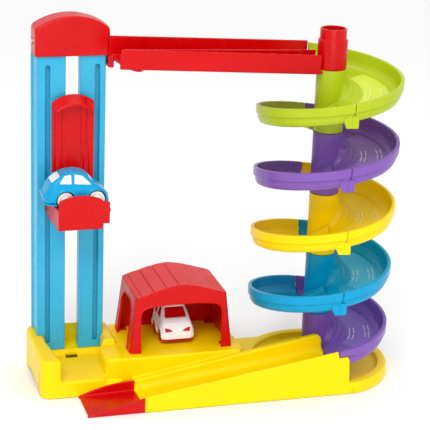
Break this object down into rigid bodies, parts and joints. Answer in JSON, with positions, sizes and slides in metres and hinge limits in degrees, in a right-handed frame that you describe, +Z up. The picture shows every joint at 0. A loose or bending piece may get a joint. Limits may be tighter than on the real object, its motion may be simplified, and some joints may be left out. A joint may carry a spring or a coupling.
{
  "type": "toy car track with lift",
  "caption": "Toy car track: a hand lift raises a small car to a bridge, it rolls down a coloured spiral chute and an exit ramp, beside a garage canopy.",
  "frame": {"origin": "centre of the footprint's bounding box, on the surface that the toy stands on", "axes": "+X from the lift to the spiral, +Y to the back, +Z up"},
  "size_m": [0.3905, 0.157, 0.3919],
  "materials": {
    "yellow_plastic": "moulded, semi-gloss",
    "red_plastic": "moulded, glossy",
    "blue_plastic": "moulded, glossy",
    "lime_plastic": "moulded, glossy",
    "purple_plastic": "moulded, glossy",
    "white_plastic": "moulded, glossy",
    "natural_plastic": "moulded, matte",
    "steel": "zinc plated"
  },
  "bodies": {
    "track": {"base_shell": "yellow_plastic", "exit_ramp": "red_plastic", "tower_left": "blue_plastic", "tower_right": "blue_plastic", "tower_screws": "steel", "tower_cap": "red_plastic", "cap_screws": "steel", "bridge_track": "red_plastic", "chute_1a": "lime_plastic", "chute_2a": "purple_plastic", "chute_3a": "yellow_plastic", "chute_4a": "blue_plastic", "chute_5a": "purple_plastic", "chute_1b": "lime_plastic", "chute_2b": "purple_plastic", "chute_3b": "yellow_plastic", "chute_4b": "blue_plastic", "garage_canopy": "red_plastic"},
    "lift": {"lift_carriage": "red_plastic", "guide_shoe_left": "natural_plastic", "guide_shoe_right": "natural_plastic", "shoe_screws": "steel"},
    "blue_car": {"blue_shell": "blue_plastic", "blue_windows": "white_plastic", "blue_chassis": "blue_plastic", "blue_screw": "steel"},
    "blue_front_wheels": {"blue_axle_front": "steel", "blue_wheel_fl": "white_plastic", "blue_wheel_fr": "white_plastic"},
    "blue_rear_wheels": {"blue_axle_rear": "steel", "blue_wheel_rl": "white_plastic", "blue_wheel_rr": "white_plastic"},
    "white_car": {"white_shell": "white_plastic", "white_windows": "red_plastic", "white_chassis": "red_plastic", "white_screw": "steel"},
    "white_front_wheels": {"white_axle_front": "steel", "white_wheel_fl": "red_plastic", "white_wheel_fr": "red_plastic"},
    "white_rear_wheels": {"white_axle_rear": "steel", "white_wheel_rl": "red_plastic", "white_wheel_rr": "red_plastic"}
  },
  "joints": [
    {"name": "lift_slide", "type": "slide", "parent": "track", "child": "lift", "axis": [0, 0, 1], "range_m": [-0.148, 0.149]},
    {"name": "blue_car_roll", "type": "slide", "parent": "lift", "child": "blue_car", "axis": [1, 0, 0], "range_m": [-0.0035, 0.0105]},
    {"name": "blue_front_spin", "type": "hinge", "parent": "blue_car", "child": "blue_front_wheels", "pos_m": [-0.13375, 0.014, 0.21], "axis": [0, 1, 0], "continuous": true},
    {"name": "blue_rear_spin", "type": "hinge", "parent": "blue_car", "child": "blue_rear_wheels", "pos_m": [-0.16595, 0.014, 0.21], "axis": [0, 1, 0], "continuous": true},
    {"name": "white_car_roll", "type": "slide", "parent": "track", "child": "white_car", "axis": [0, -1, 0], "range_m": [-0.006, 0.03]},
    {"name": "white_front_spin", "type": "hinge", "parent": "white_car", "child": "white_front_wheels", "pos_m": [-0.04025, 0.0195, 0.044], "axis": [1, 0, 0], "continuous": true},
    {"name": "white_rear_spin", "type": "hinge", "parent": "white_car", "child": "white_rear_wheels", "pos_m": [-0.04025, 0.0425, 0.044], "axis": [1, 0, 0], "continuous": true}
  ],
  "couplings": [
    {"joint": "blue_front_spin", "follows": "blue_car_roll", "rad_per_m": 117.65},
    {"joint": "blue_rear_spin", "follows": "blue_car_roll", "rad_per_m": 117.65},
    {"joint": "white_front_spin", "follows": "white_car_roll", "rad_per_m": 133.33},
    {"joint": "white_rear_spin", "follows": "white_car_roll", "rad_per_m": 133.33}
  ]
}
